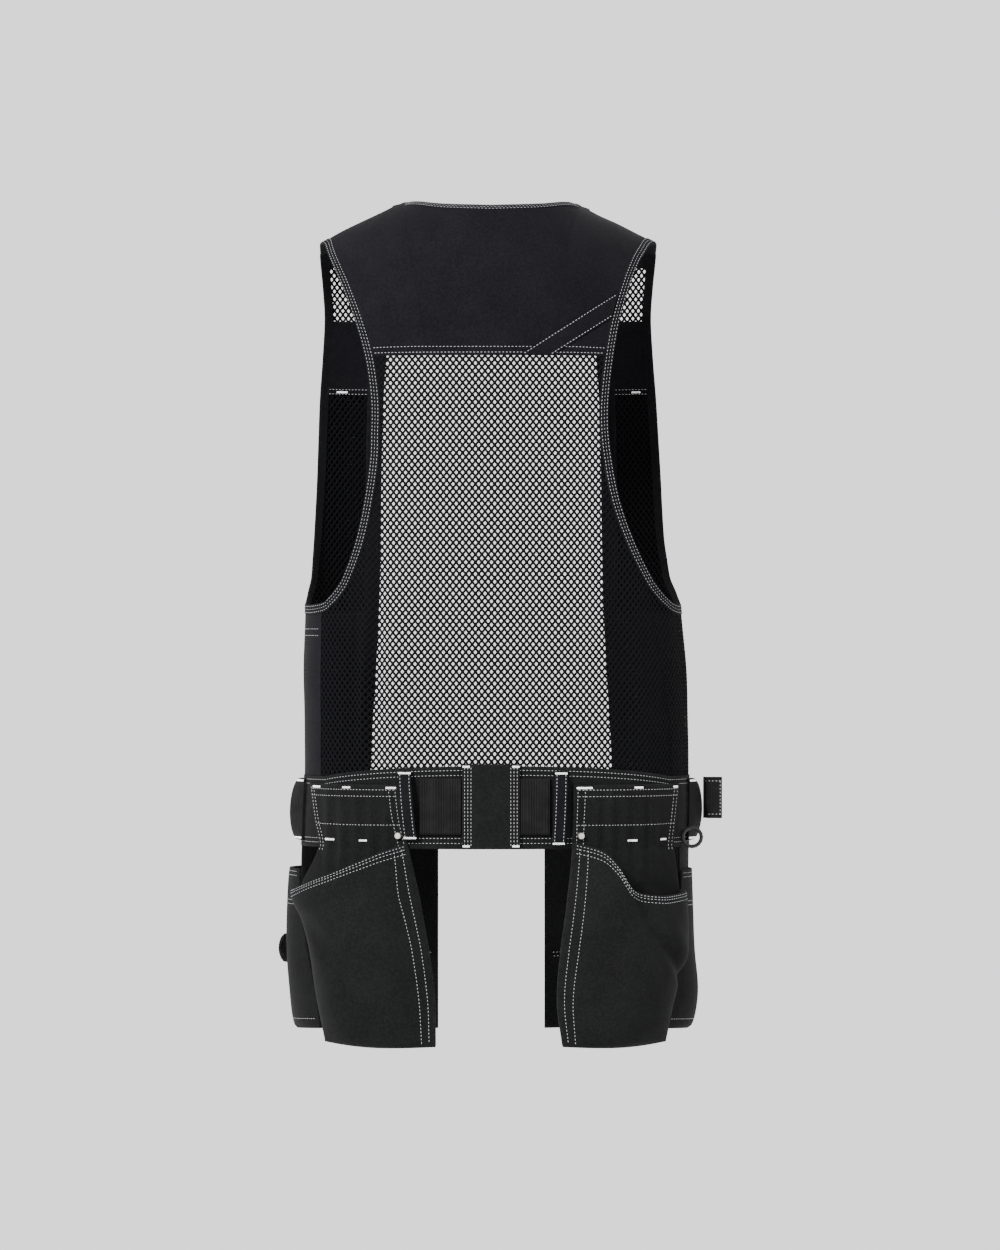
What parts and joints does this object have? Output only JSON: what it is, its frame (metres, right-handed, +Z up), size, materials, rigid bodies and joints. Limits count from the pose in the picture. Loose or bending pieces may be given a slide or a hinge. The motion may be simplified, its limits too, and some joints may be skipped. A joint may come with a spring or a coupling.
{
  "type": "utility work vest",
  "caption": "Work vest with a see-through net back, cloth yoke, bound armholes, a buckled belt and two hanging holster pockets.",
  "frame": {"origin": "on the shoulders, midway between the two neck points", "axes": "+Z up, -Y towards the vest's back, +X the wearer's right side"},
  "size_m": [0.4734, 0.3022, 0.8942],
  "materials": {
    "yoke_cloth": "brushed black twill",
    "net": "open knitted black net",
    "tape": "black woven tape with pale stitch rows",
    "webbing": "black ribbed webbing",
    "holster_cloth": "heavy black pocket cloth",
    "plastic": "satin black plastic",
    "metal": "pale nickel"
  },
  "bodies": {
    "root": {"armhole_binding_left": "tape", "armhole_binding_right": "tape", "back_yoke": "yoke_cloth", "neck_binding": "tape", "yoke_strip": "yoke_cloth", "back_mesh": "net", "side_mesh_left": "net", "side_mesh_right": "net", "front_placket_left": "tape", "front_placket_right": "tape", "shoulder_strap_left": "yoke_cloth", "shoulder_strap_right": "yoke_cloth", "front_mesh_upper_left": "net", "front_mesh_upper_right": "net", "chest_panel_left": "yoke_cloth", "chest_panel_right": "yoke_cloth", "front_mesh_left": "net", "front_mesh_right": "net", "chest_pocket_left": "yoke_cloth", "chest_pocket_right": "yoke_cloth", "lower_front_left": "yoke_cloth", "lower_front_right": "yoke_cloth", "belt_band": "webbing", "front_belt_left": "webbing", "front_belt_right": "webbing", "front_buckle": "plastic", "belt_centre_panel": "webbing", "belt_elastic_left": "webbing", "belt_elastic_right": "webbing", "belt_loop_left": "webbing", "belt_loop_right": "webbing", "side_loop_left": "webbing", "side_loop_right": "webbing", "strap_end_right": "webbing", "d_ring_right": "plastic", "holster_panel_left": "holster_cloth", "holster_panel_right": "holster_cloth", "holster_pouch_left": "holster_cloth", "holster_pouch_right": "holster_cloth", "rivet_left": "metal", "rivet_right": "metal", "front_pocket_panel_left": "holster_cloth", "front_pocket_panel_right": "holster_cloth", "front_pouch_left": "holster_cloth", "front_pouch_right": "holster_cloth", "tool_tab_left": "webbing"}
  },
  "joints": []
}
